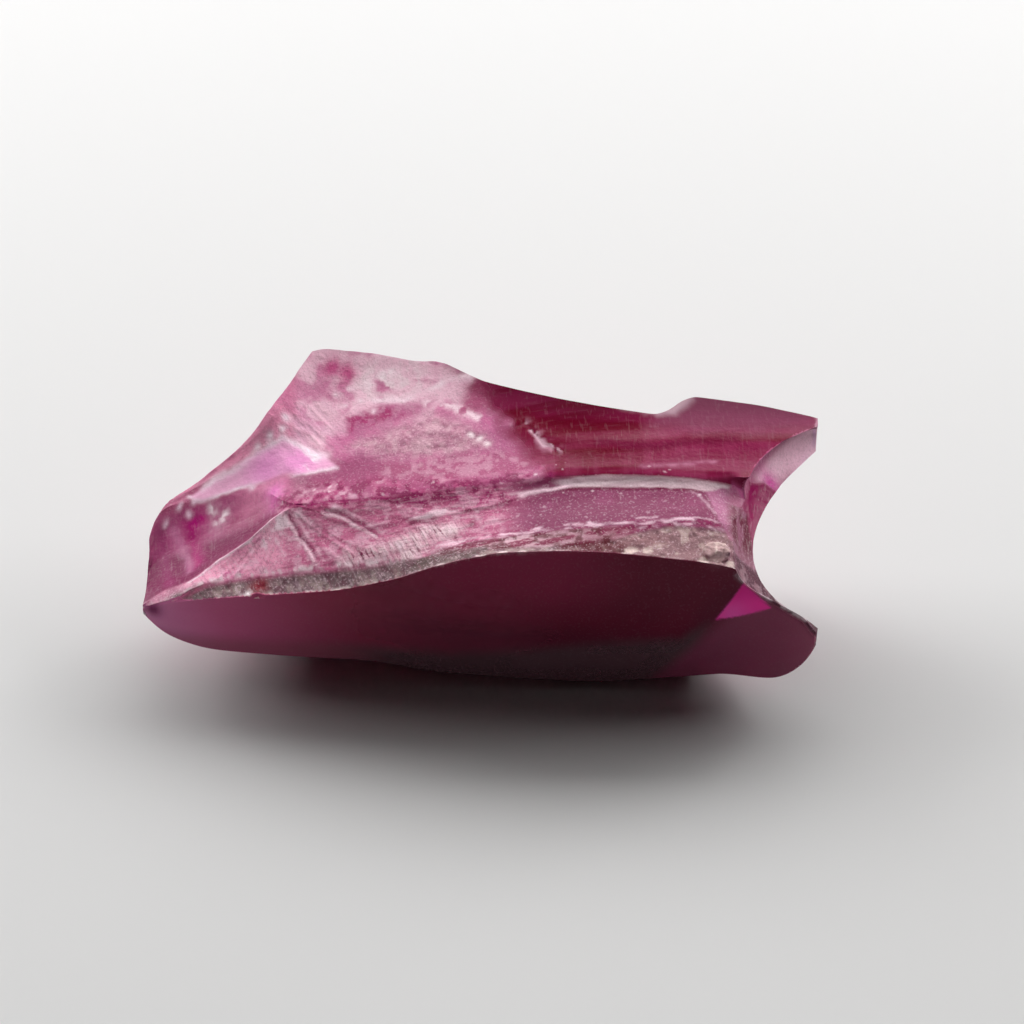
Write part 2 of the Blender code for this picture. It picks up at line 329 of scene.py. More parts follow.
def relaxed(mesh, co, steps, by_crease=True):
    """Smooths each face between its creases and each crease only along itself, or all of them together."""
    ends = np.zeros(len(mesh.edges) * 2, int)
    mesh.edges.foreach_get("vertices", ends)
    ends = ends.reshape(-1, 2)
    sharp = np.array([edge.use_edge_sharp for edge in mesh.edges]) & by_crease
    creases = np.bincount(ends[sharp].ravel(), minlength=len(co))
    for _ in range(steps):
        moved = co.copy()
        for edges, mine in ((ends[~sharp], creases == 0), (ends[sharp], creases == 2)):
            total = np.zeros_like(co)
            both = np.concatenate([edges, edges[:, ::-1]])
            for column in range(3):
                total[:, column] = np.bincount(both[:, 0], co[both[:, 1], column], len(co))
            count = np.maximum(np.bincount(both[:, 0], minlength=len(co)), 1)[:, None]
            moved[mine] = 0.5 * co[mine] + 0.5 * (total / count)[mine]
        co = moved
    return co


def slumped(mesh, co):
    """The step, the lip and the lump worn down into their neighbours, but for the ridge and the right end."""
    x, y, z = co.T
    near_step = 1.0 - step(0.5, 0.9, np.abs(y - cross(STEP, x) + 0.15))
    near_lip = 1.0 - step(0.45, 0.8, np.abs(y - cross(LIP, x)))
    worn = near_step * window(x, -7.8, 11.2, 0.4) + near_lip * window(x, -9.5, 11.2, 0.4)
    worn = np.clip(worn + step(0.25, 0.6, knob(co)), 0.0, 1.0) * (normals_of(mesh)[:, 2] > -0.3) * (z > 3.5)
    return co + worn[:, None] * (relaxed(mesh, co, 90, by_crease=False) - co)


def regions(p, n):
    """How much each point belongs to each face of the stone, from 0 to 1."""
    x, y, z = p.T
    up = step(0.1, 0.4, n[:, 2])
    inner_wall = step(0.2, 0.5, -n[:, 1]) * step(-5.0, -4.5, y) * step(5.5, 6.0, z)
    up = np.maximum(up, inner_wall)
    front = step(0.5, 0.75, -n[:, 1]) * (1.0 - step(-4.6, -4.0, y))
    bite = step(0.25, 0.5, n[:, 0]) * step(10.5, 11.1, x) * (1.0 - front)
    top = up * (1.0 - front) * (1.0 - bite)
    bruise, lip, ledge, shoulder = (cross(line, x) for line in (BRUISE, LIP, STEP, SHOULDER))
    left = 1.0 - step(-9.0, -8.2, x)
    above = top * step(ledge, ledge + 0.2, y)
    return {
        "top": top,
        "front": front,
        "bite": bite,
        "back": (1.0 - up) * (1.0 - front) * (1.0 - bite) * step(-0.5, 0.3, n[:, 1]),
        "under": step(0.5, 0.8, -n[:, 2]),
        "crush": top * (1.0 - step(bruise - 0.05, bruise + 0.25, y + 0.25 * (1.0 - step(-6.0, -2.0, x)))),
        "slope": top * window(y, bruise, lip, 0.12),
        "terrace": top * window(y, lip, ledge, 0.1) * step(0.5, 2.5, x),
        "fan": top * window(y, bruise, ledge, 0.12) * (1.0 - step(0.5, 2.5, x)),
        "scoop": above * (1.0 - step(0.1, 0.5, y)) * left,
        "upper": above * (1.0 - left),
        "plateau": above * step(1.2, 2.6, x + 0.55 * y + 0.5 * grain(p, 0.6, 221)),
        "side": top * left * step(shoulder, shoulder + 0.4, y),
    }


def relief(p, r):
    """How far each point moves out along its normal."""
    x, y, z = p.T
    flat = p[:, :2]
    rough = r["top"] * (1.0 - 0.75 * r["plateau"]) + 0.8 * r["back"] + 0.4 * r["bite"]
    out = 0.02 * rough * fractal(p, 1.5, 1) + 0.012 * rough * ridged(p, 0.45, 5, 2)
    out += 0.006 * fractal(p * (0.4, 1.0, 1.0), 1.6, 3) * r["front"]
    # The crushed strip is broken into grains, and its left half into short cross ribs.
    ribs = ridged(turned(p, 12) * (3.2, 0.5, 0.5), 1.0, 11)
    grains = ridged(p, (0.5, 0.4, 0.4), 15)
    left_half = 1.0 - step(-4.0, -1.0, x)
    out += r["crush"] * ((0.10 * ribs - 0.06) * left_half + (0.13 * grains - 0.08) * (1.0 - left_half))
    # Steps run along the slope below the lip and the fan's right part, and wisps along the ridge line.
    runs = ridged(turned(p, 3.5) * (0.28, 2.4, 0.8), 1.0, 21)
    out += (0.06 * runs - 0.03) * r["slope"]
    out += 0.05 * (runs - 0.5) * r["fan"] * step(-6.0, -2.0, x)
    out += 0.05 * r["top"] * stroke(flat, LEDGE_WISP, 0.15) * (2.0 * runs - 0.6)
    # The fan opens from the point where the ridge ends.
    across, along = y - FAN_POINT[1], x - FAN_POINT[0]
    angle, reach = np.arctan2(across, along), np.hypot(across, along)
    spokes = np.stack([angle * 9.0, reach * 0.35, 0.0 * x], axis=1)
    out += r["fan"] * (0.06 * ridged(spokes, 1.0, 31) - 0.03) * (1.0 - step(-5.0, -2.0, x))
    for crack in CRACKS:
        out -= 0.03 * r["top"] * stroke(flat, crack, 0.06)
    for smear in SMEARS:
        out += r["top"] * stroke(flat, smear, 0.4) * (0.07 * smear_hackles(p) - 0.02)
    # The left end of the upper slab is feathered, and its middle is granular.
    combed = ridged(turned(p, TURNS["feather"]) * (0.5, 3.4, 1.0), 1.0, 51)
    out += r["top"] * feathered(x, y) * (0.08 * combed - 0.04)
    out += r["top"] * patch(flat, GRANULAR, 0.3) * 0.05 * fractal(p, 0.35, 53, 3)
    out -= 0.025 * r["top"] * stroke(flat, SCAR, 0.1)
    # The back carries wide shell-like ripples, and the bite finer ones.
    waves = np.sin(SHELL_WAVES * rings(x, z) + 1.2 * grain(p, 4.0, 61))
    out += r["back"] * (0.03 * waves + 0.04 * fractal(p, 1.5, 63))
    out += r["bite"] * 0.02 * (ridged(turned(p, 75, "y") * (0.4, 2.6, 1.0), 1.0, 71) - 0.4)
    out += 0.3 * np.exp(-np.sum(((p - SWELLING) / (1.5, 1.6, 1.5)) ** 2, axis=1))
    out += knob(p) * 0.12 * (knob_grains(p) - 0.5)
    # It fades out at both ends, which reach the CAD box.
    return out * (1.0 - step(14.2, 14.6, np.abs(x)))


def feathered(x, y):
    """1 in the middle of the feathers at the left end of the upper slab."""
    return np.exp(-(((x + 7.9) / 1.3) ** 2) - ((y - 2.6) / 1.4) ** 2)


def smear_hackles(p):
    """The fine ridges that comb the smears across their length."""
    return ridged(turned(p, 25) * (4.2, 0.5, 0.5), 1.0, 45, 2)


def rings(x, z):
    """How far each point is from the middle of the back's ripples."""
    return np.hypot(x - SHELLS[0], 1.4 * (z - SHELLS[1]))


def knob(p):
    """1 on the pale lump at the right end of the front edge."""
    return np.exp(-np.sum((p - KNOB) ** 2, axis=1) / KNOB_SIZE**2)


def knob_grains(p):
    return ridged(p, 0.45, 75, 3)


class Coat:
    """What the material reads at each point: its colour, the share of pigment and haze in the clear stone,
    how dull it is, and how strong its fine patterns are. It also holds the noise that breaks up the paint."""

    PATTERNS = ("dust", *TURNS)

    def __init__(self, p, r):
        self.p, self.r = p, r
        self.x, self.y, self.z = p.T
        self.drift = np.stack([fractal(p, 1.1, 101, 3), fractal(p, 1.1, 105, 3)], axis=1)
        fine = np.stack([grain(p, 0.3, 131), grain(p, 0.3, 133)], axis=1)
        self.flat = p[:, :2] + 0.14 * self.drift + 0.06 * fine
        self.tall = p[:, [0, 2]]
        self.speckle = np.clip(0.5 + 1.1 * fractal(p, 0.3, 81, 2), 0.0, 1.0)
        self.coarse = np.clip(0.5 + 0.9 * fractal(p, 0.9, 83, 3), 0.0, 1.0)
        self.cloud = np.clip(0.5 + 0.8 * fractal(p, 2.2, 85, 3), 0.0, 1.0)
        self.grains = step(0.5, 0.75, self.speckle)
        # Scattered points that carry painted glints, as where tiny facets catch the light.
        self.painted_glints = lattice(np.floor(p / 0.1), 201) > 0.985
        self.wisps = step(0.4, 0.65, ridged(turned(p, 6.0) * (0.35, 2.8, 1.0), 1.0, 21))
        self.tint = np.tile(CLEAR, (len(p), 1))
        self.share = np.zeros(len(p))
        self.satin = np.full(len(p), 0.5)
        for name in self.PATTERNS:
            setattr(self, name, np.zeros(len(p)))

    def lay(self, mask, colour=None, share=None, lit=LIT, **others):
        """Covers what lies below by the mask."""
        m = np.clip(mask, 0.0, 1.0)
        if colour is not None:
            self.tint += m[:, None] * (np.minimum(seen(colour, lit) / max(share, 0.25), 0.95) - self.tint)
            others["share"] = share
        for name, value in others.items():
            layer = getattr(self, name)
            layer += m * (value - layer)

    def top(self, mask, colour, share=0.8, **others):
        self.lay(self.r["top"] * mask, colour, share, **others)

    def line(self, path, width, colour, share=0.8, strength=1.0):
        self.top(stroke(self.flat, path, width) * strength, colour, share)

    def area(self, outline, soft, colour, share=0.75, strength=1.0):
        self.top(patch(self.flat, outline, soft) * strength, colour, share)

    def spots(self, places, radius, colour, share=0.9, strength=1.0):
        self.top(dots(self.flat, places, radius) * strength, colour, share)


def paint_far_faces(c):
    """The back, the underside and the resting face: duller and cloudier than the front, with painted shade on
    the resting face.
    """
    back, under, bite = c.r["back"], c.r["under"], c.r["bite"]
    uneven = rings(c.x, c.z) + 0.7 * fractal(c.p, 2.6, 61, 3)
    shells = (0.5 + 0.5 * np.sin(SHELL_WAVES * uneven)) ** 6
    c.lay(back, (104, 26, 58), 0.5, satin=0.45, dust=0.35, streak=0.2)
    c.lay(back * step(0.4, 0.8, c.cloud) * 0.8, (134, 56, 88), 0.6)
    c.lay(back * shells * step(0.3, 0.8, c.coarse) * 0.6, (176, 116, 142), 0.75, dust=0.8)
    c.lay(back * c.grains * 0.3, (166, 104, 130), 0.75)
    c.lay(back * (1.0 - step(0.15, 0.4, c.speckle)) * 0.4, (84, 12, 44), 0.5)
    c.lay(bite, (128, 46, 80), 0.5, satin=0.4, dust=0.25, thread=0.2)
    raised = step(0.1, 0.8, c.z)
    # Painted shade: the face that rests on the paper is painted dark, for the stone's own shadow that lies on
    # it.
    c.lay(under * (1.0 - raised), (58, 24, 34), 0.85, satin=0.5)
    c.lay(under * raised, (150, 78, 108), 0.45, satin=0.45, dust=0.4)
    c.lay(under * raised * c.cloud * 0.7, (184, 122, 148), 0.6)


def paint_upper_slab(c):
    """Pale and hazy on the left, with white curls behind a grey granular patch."""
    top, upper, x, y = c.r["top"], c.r["upper"], c.x, c.y
    c.lay(top, (160, 84, 114), 0.65, satin=0.42, dust=0.25, streak=0.1)
    c.lay(upper, (220, 176, 192), 0.78, dust=0.3, streak=0.0)
    c.lay(upper * (1.0 - step(2.0, 3.6, y)) * step(-7.4, -6.0, x), (172, 100, 134), 0.7)
    c.lay(upper * step(0.4, 0.8, c.coarse) * 0.7, (180, 96, 136), 0.65)
    c.lay(upper * step(0.6, 0.85, c.cloud) * 0.5, (226, 186, 202), 0.8)
    c.area([(-9.0, 1.9), (-6.0, 0.8), (-1.5, -0.6), (0.2, -1.5), (-9.0, -1.6)], 0.4, (142, 70, 102), 0.65,
           0.75)
    c.area([(-6.0, 2.2), (-2.6, 2.9), (-2.2, 3.6), (-5.0, 3.5), (-6.2, 2.9)], 0.3, (160, 84, 120), 0.65, 0.8)
    c.area([(-6.0, 2.3), (-3.4, 2.9), (-4.4, 3.5), (-6.2, 3.1)], 0.2, (150, 54, 98), 0.6,
           step(0.4, 0.7, c.speckle))
    c.area([(-1.0, 2.6), (1.6, 2.4), (2.4, 3.4), (0.2, 4.4), (-0.8, 3.8)], 0.4, (160, 78, 110), 0.66, 0.85)
    warped = c.p + 1.0 * np.stack([fractal(c.p, 0.9, 141), fractal(c.p, 0.9, 143), 0.0 * x], axis=1)
    curl = np.hypot(warped[:, 0] + 4.1, 1.3 * (warped[:, 1] - 4.9))
    curls = step(0.35, 0.8, 0.5 + 0.5 * np.sin(5.4 * curl + 1.0))
    haze = np.exp(-(((x + 4.4) / 2.1) ** 2) - ((y - 4.7) / 1.1) ** 2)
    c.top(1.3 * haze * (0.15 + 0.85 * curls) * (0.55 + 0.45 * c.speckle), (226, 198, 206), 0.88)
    c.top(haze * (1.0 - curls) * step(0.5, 0.8, c.coarse) * 0.7, (174, 88, 128), 0.65)
    c.spots([(-4.6, 5.0), (-4.1, 5.1), (-5.2, 4.8)], 0.28, (242, 226, 230), 0.92, 0.4 + 0.6 * c.speckle)
    c.spots([(-6.9, 5.6), (-6.2, 5.3)], 0.4, (176, 66, 116), 0.6, 0.8)
    arc = [(-5.4, 4.0), (-4.6, 3.75), (-3.5, 3.75), (-2.4, 4.1), (-1.5, 4.4), (-0.5, 4.2)]
    c.line(arc, 0.16, (234, 206, 216), 0.85, 0.2 + 0.8 * step(0.3, 0.6, c.coarse))
    c.area(GRANULAR, 0.5, (176, 128, 144), 0.85, 0.85)
    grained = patch(c.flat, GRANULAR, 0.5)
    c.lay(top * grained, dust=0.5, satin=0.6)
    c.top(grained * step(0.3, 0.8, c.speckle) * 0.5, (204, 168, 178), 0.9)
    c.top(grained * (1.0 - step(0.1, 0.35, c.speckle)) * 0.35, (150, 96, 120), 0.8)
    c.line([(-2.5, 3.4), (-1.7, 3.3), (-1.0, 2.8), (0.2, 1.9)], 0.2, (236, 206, 216), 0.88,
           step(0.4, 0.6, c.speckle))
    c.spots([(-0.1, 1.1), (0.25, 0.8), (-0.5, 1.25), (-2.8, -0.1)], 0.14, (244, 226, 230), 0.95)
    c.spots([(-6.2, 3.7), (-5.6, 3.9), (-6.6, 4.3), (-5.0, 3.3), (-6.0, 4.6)], 0.13, (236, 208, 218), 0.9)


def paint_plateau(c):
    """Deep red and partly clear, with soft bands along it, fine upright threads and a duller right end."""
    deep = c.r["plateau"]
    bands = step(0.25, 0.8, 0.5 + 0.9 * fractal(turned(c.p, 2) * (0.16, 1.8, 1.0), 1.0, 91, 3))
    c.lay(deep, (104, 8, 50), 0.66, satin=0.24, dust=0.0, streak=0.03, thread=0.06)
    upright = step(0.3, 0.8, 0.5 + 0.9 * fractal(turned(c.p, 2) * (2.6, 0.3, 1.0), 1.0, 93, 2))
    c.lay(deep * bands * 0.6, (132, 50, 82), 0.62)
    c.lay(deep * upright * (1.0 - step(-0.2, 1.2, c.y)) * 0.35, (150, 72, 102), 0.64)
    c.lay(deep * patch(c.flat, DARK_POOL, 0.8) * (1.0 - 0.45 * bands), (96, 2, 46), 0.6)
    c.area([(7.4, 1.3), (9.6, 0.9), (15.0, 1.4), (15.0, 4.6), (10.0, 5.6), (8.6, 3.2)], 0.7, (138, 82, 104),
           0.65, 0.75)
    c.area([(6.4, -1.4), (11.6, -1.4), (13.4, 0.2), (12.0, 0.5), (7.6, -0.4)], 0.25, (118, 38, 70), 0.64, 0.7)
    c.line([(5.2, 0.35), (7.6, 0.1), (9.0, 0.3), (11.2, 0.75)], 0.22, (104, 26, 60), 0.5, 0.8)
    c.line([(7.0, -1.0), (8.6, -0.9), (10.4, -0.6)], 0.12, (166, 106, 132), 0.7, 0.2 + 0.5 * c.speckle)
    c.area([(5.8, 2.3), (8.6, 1.9), (9.4, 2.6), (9.0, 3.6), (5.8, 3.2)], 0.25, (206, 172, 184), 0.8)
    c.top(stroke(c.flat, SCAR, 0.24) * step(0.4, 0.7, c.speckle) * 0.6, (200, 150, 172), 0.85)
    c.top(stroke(c.flat, SCAR, 0.09) * step(0.3, 0.6, c.speckle), (226, 196, 208), 0.9)
    c.line(shifted(SCAR, 0.1, -0.12), 0.06, (104, 24, 62), 0.6, 0.5)


def paint_left_end(c):
    """The feathers, the pale facet with its white rims, and the hollow with pink bands, painted highlights,
    and painted shade and light on its slopes.
    """
    top, side, scoop, flat = c.r["top"], c.r["side"], c.r["scoop"], c.flat
    c.lay(side * (1.0 - patch(flat, PALE_FACET, 0.2)), (214, 134, 164), 0.7, dust=0.25)
    c.lay(side * step(0.55, 0.8, c.coarse) * 0.6, (176, 90, 128), 0.65)
    combed = step(0.4, 0.7, ridged(turned(c.p, TURNS["feather"]) * (0.5, 3.6, 1.0), 1.0, 51))
    c.top(feathered(c.x, c.y) * combed * 0.5, (198, 146, 172), 0.82)
    c.lay(top * feathered(c.x, c.y), feather=0.25)
    c.area(PALE_FACET, 0.1, (224, 166, 196), 0.85, 0.95)
    pale = patch(flat, PALE_FACET, 0.1)
    c.lay(top * pale, dust=0.1, streak=0.12, satin=0.35)
    c.top(pale * dots(flat, [(-9.6, 0.9), (-8.2, 0.8)], 1.0), (224, 146, 196), 0.85)
    c.top(pale * stroke(flat, [(-7.9, 0.3), (-7.4, 1.0), (-8.0, 1.6)], 0.25) * combed, (244, 224, 234), 0.9)
    c.line(PALE_FACET[:6], 0.1, (240, 218, 228), 0.88, 0.4 + 0.6 * c.coarse)
    c.line(PALE_FACET[6:], 0.18, (238, 214, 226), 0.88, 0.3 + 0.7 * c.coarse)
    c.spots([(-9.6, 2.2), (-9.0, 2.5), (-8.8, 3.0), (-10.2, 1.9)], 0.2, (238, 212, 224), 0.88)
    c.lay(scoop, (166, 84, 122), 0.65, satin=0.3, dust=0.1, thread=0.15)
    # Painted shade and light: the hollow's low part is painted darker and its upper right lighter, to offset
    # how the light falls across it.
    c.lay(scoop * (1.0 - step(-1.9, -0.9, c.y)), (112, 44, 76), 0.7, satin=0.45)
    c.lay(scoop * step(-11.6, -10.4, c.x) * step(-1.3, -0.5, c.y), (196, 118, 150), 0.68)
    c.lay(scoop * stroke(flat, [(-13.2, 0.2), (-13.0, -1.0), (-12.7, -2.6)], 0.35), (150, 44, 100), 0.6)
    c.lay(scoop * stroke(flat, [(-13.9, -0.4), (-13.5, -1.4), (-12.9, -3.0)], 0.2) * 0.6,
          (184, 120, 152), 0.7)
    c.lay(scoop * stroke(flat, [(-14.4, -0.2), (-14.2, -2.0), (-13.8, -3.6)], 0.3) * 0.6, (130, 52, 92), 0.6)
    c.lay(scoop * dots(flat, [(-11.0, -0.9), (-10.2, -1.1)], 0.5) * 0.6, (140, 62, 92), 0.6)
    c.lay(scoop * dots(flat, [(-9.0, -0.8), (-9.2, -0.4)], 0.45), (214, 112, 176), 0.7)
    c.spots([(-13.0, -0.3), (-12.6, -0.2)], 0.25, (172, 40, 116), 0.65)
    # Painted highlights: white spots where the hollow's glassy floor catches the light.
    c.spots([(-12.1, 0.0), (-11.6, -0.4), (-11.8, -0.7)], 0.3, (240, 222, 228), 0.92, 0.3 + 0.7 * c.grains)
    spots = [(-13.2, 0.05), (-13.7, 0.45), (-13.0, 0.45), (-14.3, 0.0), (-10.3, 0.3)]
    c.spots(spots, 0.15, (232, 200, 216), 0.88)


def paint_fan(c):
    """Dusted with grains, most of all near its point, and cracked across, with a painted highlight along the
    ridge and painted glints.
    """
    fan = c.r["fan"]
    c.lay(fan, (178, 100, 130), 0.74, dust=0.5, streak=0.4)
    left = 1.0 - step(-9.2, -8.2, c.x)
    c.lay(fan * left, (212, 142, 168), 0.78, streak=0.05, comb=0.35)
    c.lay(fan * left * step(0.5, 0.8, c.coarse) * 0.7, (180, 82, 130), 0.65)
    c.lay(fan * c.grains * 0.45, (214, 170, 188), 0.82)
    point = dots(c.flat, [(-9.0, -2.3), (-8.5, -2.2), (-9.6, -2.8)], 0.6)
    c.lay(fan * point * (0.2 + 0.8 * c.grains), (230, 204, 214), 0.9)
    # Painted highlight: a white line along the crest of the ridge that climbs to the left end.
    c.line(STEP[2:7], 0.06, (240, 214, 224), 0.88, 0.85)
    zone = [(-9.1, -0.6), (-6.0, -0.4), (-2.0, -1.0), (3.2, -0.9), (3.4, -2.2), (0.5, -2.5), (-4.0, -2.0),
            (-9.1, -1.8)]
    c.area(zone, 0.3, (162, 68, 110), 0.66, 0.3 + 0.6 * step(0.45, 0.6, c.coarse))
    c.area(zone, 0.25, (216, 176, 192), 0.85, 0.45 * c.grains * step(0.5, 0.7, c.coarse))
    # Painted glints: white points scattered over the fan's zone.
    c.area(zone, 0.3, (232, 204, 214), 0.9, 0.8 * c.painted_glints)
    c.area(zone, 0.25, (120, 26, 76), 0.62, 0.7 * (1.0 - step(0.2, 0.4, c.speckle)))
    c.line([(-8.0, -0.9), (-7.3, -1.2), (-6.1, -1.3), (-5.2, -1.6)], 0.2, (216, 178, 194), 0.86,
           0.6 * step(0.55, 0.8, c.speckle))
    grey_foot = [(-4.5, -0.5), (-2.0, -1.0), (1.5, -1.3), (2.4, -0.6), (1.2, 0.3), (-2.0, 0.2), (-4.5, 0.3)]
    c.area(grey_foot, 0.3, (156, 82, 112), 0.72, 0.7)
    c.area(grey_foot, 0.3, (204, 158, 176), 0.85, 0.5 * step(0.5, 0.8, c.speckle))
    c.line([(-9.0, -1.45), (-8.1, -1.6), (-6.3, -1.65), (-4.9, -1.8), (-2.5, -2.2)], 0.07, (132, 18, 84), 0.6,
           0.85)
    for crack in CRACKS:
        c.line(crack, 0.05, (116, 36, 76), 0.62, 0.7)
        c.line(shifted(crack, -0.13, -0.08), 0.06, (238, 210, 220), 0.88, 0.8)
        c.line(shifted(crack, 0.2, 0.1), 0.05, (226, 190, 204), 0.85, 0.5)


def paint_terrace(c):
    """Dull and finely grained, with painted glints, under a whitish ledge that is also painted over the
    shaded wall of the step.
    """
    r, x, y = c.r, c.x, c.y
    c.lay(r["terrace"] + r["slope"] * step(0.0, 2.0, x), (124, 64, 90), 0.68, satin=0.4, dust=0.35,
          streak=0.0)
    c.lay(r["terrace"] * step(0.5, 0.9, c.coarse) * 0.5, (138, 70, 102), 0.68)
    # Painted glints: white points scattered over the terrace.
    c.lay(r["top"] * c.painted_glints * window(y, -4.4, -0.8, 0.3) * window(x, -8.0, 10.0, 0.5) * 0.5,
          (226, 196, 208), 0.9)
    # A ridge line climbs from the fan's middle to the ledge, white above and dark below.
    c.line(shifted(LEDGE_WISP, 0.0, 0.05), 0.12, (234, 202, 214), 0.88, c.wisps)
    c.line(shifted(LEDGE_WISP, 0.0, -0.16), 0.09, (110, 26, 68), 0.6, 0.9 * (1.0 - c.wisps))
    c.line([(-5.6, -3.1), (-4.2, -3.0), (-3.1, -2.75)], 0.08, (124, 34, 78), 0.6, 0.7)
    # Off is how far each point lies behind the step, a little unevenly.
    off = y + 0.05 * c.drift[:, 0] + 0.03 * grain(c.p * (0.5, 1.0, 1.0), 0.3, 151) - cross(STEP, x)
    # The ledge's own frost is whitish, and its white also runs down over the step's wall as painted light,
    # lifting the shade there.
    ledge = window(off, -0.34, 0.12, 0.07)
    taper = window(off, -0.16, 0.04, 0.04)
    c.top(ledge * window(x, 4.0, 11.3, 0.4) * (0.75 + 0.25 * c.wisps), (222, 198, 204), 0.9, dust=0.3,
          satin=0.45)
    c.top(taper * window(x, 3.3, 4.6, 0.4) * (0.4 + 0.6 * c.wisps), (220, 192, 202), 0.88)
    c.top(window(off, -0.46, -0.34, 0.05) * window(x, 3.4, 9.6, 0.4) * (0.4 + 0.6 * c.speckle), (104, 30, 62),
          0.6)
    # Painted glints: white points along the ledge.
    c.top(window(off, -0.62, 0.2, 0.1) * window(x, 3.0, 10.0, 0.4) * c.painted_glints * 0.6, (240, 224, 230), 0.95)
    c.line([(9.0, -2.15), (9.5, -2.4), (9.9, -2.9), (10.2, -3.6)], 0.07, (220, 188, 202), 0.85,
           0.5 * c.speckle)


def paint_lip(c):
    """A band of white wisps and pink pits that breaks down to the front edge, and the combed smears."""
    x = c.x
    off = c.y + 0.08 * c.drift[:, 1] - cross(LIP, x)
    crest = window(off, -0.22, 0.16, 0.08) * window(x, -2.6, 10.6, 0.4)
    torn = step(0.45, 0.62, c.speckle)
    c.top(crest * (1.0 - torn) * step(0.3, 0.6, c.coarse) * 0.7, (128, 36, 80), 0.62)
    strands = ((0.0, 0.06, 173), (-0.14, 0.045, 177), (0.12, 0.03, 181), (-0.34, 0.035, 185))
    for offset, width, seed in strands:
        wander = 0.24 * fractal(c.p * (0.8, 1.0, 1.0), 0.7, seed, 3)
        strand = window(off + wander, offset - width, offset + width, 0.05) * window(x, -2.6, 10.4, 0.5)
        c.top(strand * step(0.3, 0.6, 0.5 + 0.9 * fractal(c.p, 0.8, seed + 2, 2)), (224, 190, 204), 0.9)
    fall = window(off, -1.3, -0.22, 0.1) * window(x, -2.0, 6.6, 0.6)
    c.top(fall, (116, 52, 72), 0.72)
    slanted = step(0.45, 0.65, ridged(turned(c.p, 14) * (0.5, 4.0, 1.0), 1.0, 171, 2))
    c.top(fall * slanted * (0.3 + 0.5 * (1.0 - step(1.0, 6.0, x))), (204, 170, 180), 0.86)
    c.top(fall * (1.0 - step(0.15, 0.5, c.speckle)) * 0.8, (84, 22, 44), 0.66)
    c.spots([(5.3, -4.7), (6.0, -4.7), (6.5, -4.4), (7.3, -4.4), (8.2, -4.3), (-0.4, -3.5)], 0.18,
            (110, 22, 66), 0.6)
    combed = step(0.35, 0.6, smear_hackles(c.p))
    for smear in SMEARS:
        c.line(smear, 0.42, (212, 184, 190), 0.92, 0.5 + 0.5 * combed)
        c.lay(c.r["top"] * stroke(c.flat, smear, 0.5), comb=0.9, satin=0.5)


def paint_crushed_strip(c):
    """Grey and finely ribbed on the left, a dark wedge in the middle, beige grains on the right."""
    crush, x, y = c.r["crush"], c.x, c.y
    right = step(3.0, 6.0, x)
    c.lay(crush, (122, 104, 106), 0.9, satin=0.6, dust=0.45, comb=0.0, streak=0.0)
    c.lay(crush * (1.0 - right), comb=0.3)
    c.lay(crush * (1.0 - c.speckle) * 0.6, (92, 56, 68), 0.8)
    c.lay(crush * right * 0.8, (142, 108, 112), 0.9, dust=0.4)
    beads = step(0.5, 0.75, 0.5 + 1.0 * fractal(c.p, 0.4, 163, 2))
    low = 1.0 - step(0.25, 0.65, y - cross(FRONT_EDGE, x))
    c.lay(crush * beads * (0.25 + 0.6 * right) * (0.4 + 0.6 * low), (220, 202, 192), 0.96)
    hackles = step(0.45, 0.65, ridged(turned(c.p, 12) * (3.6, 0.5, 0.5), 1.0, 11))
    border = np.exp(-(((y - cross(BRUISE, x) - 0.1) / 0.14) ** 2)) * (1.0 - step(-4.0, -2.6, x))
    c.top(border * hackles * 0.9, (222, 200, 206), 0.92)
    wedge = [(-3.5, -5.6), (-2.6, -4.95), (-1.6, -4.75), (0.1, -5.2), (0.4, -5.5), (-0.7, -5.9), (-2.5, -5.8)]
    c.area(wedge, 0.1, (96, 82, 80), 0.9, 0.55 + 0.45 * c.coarse)
    c.area([(3.0, -5.9), (3.4, -5.4), (5.0, -5.1), (6.2, -5.3), (6.0, -6.0)], 0.12, (88, 40, 50), 0.85,
           1.0 - 0.4 * c.speckle)
    c.area([(5.6, -5.5), (8.0, -5.2), (8.2, -4.7), (6.4, -4.9)], 0.15, (140, 104, 108), 0.88, 0.8)
    c.lay(knob(c.p) * 1.3, (180, 148, 148), 0.94, satin=0.6, dust=0.2)
    c.lay(knob(c.p) * step(0.5, 0.75, knob_grains(c.p)), (222, 202, 194), 0.96)
    chips = step(0.6, 0.68, 0.5 + 0.9 * fractal(c.p, 0.45, 97, 2))
    edge = np.exp(-(((y - cross(FRONT_EDGE, x)) / 0.1) ** 2))
    c.top(edge * chips, (236, 218, 218), 0.96)
    # The chip: a deep red spot, and below it a painted highlight in white.
    c.spots([(-9.8, -4.95)], 0.34, (112, 8, 46), 0.4)
    c.spots([(-10.25, -5.25)], 0.14, (250, 240, 240), 0.96)
    c.spots([(-12.6, -4.9), (-13.4, -4.9)], 0.5, (112, 96, 98), 0.85)
    c.spots([(-14.7, -4.6), (-14.1, -4.5), (-13.6, -4.3)], 0.45, (112, 58, 82), 0.8, 0.5 + 0.5 * c.coarse)


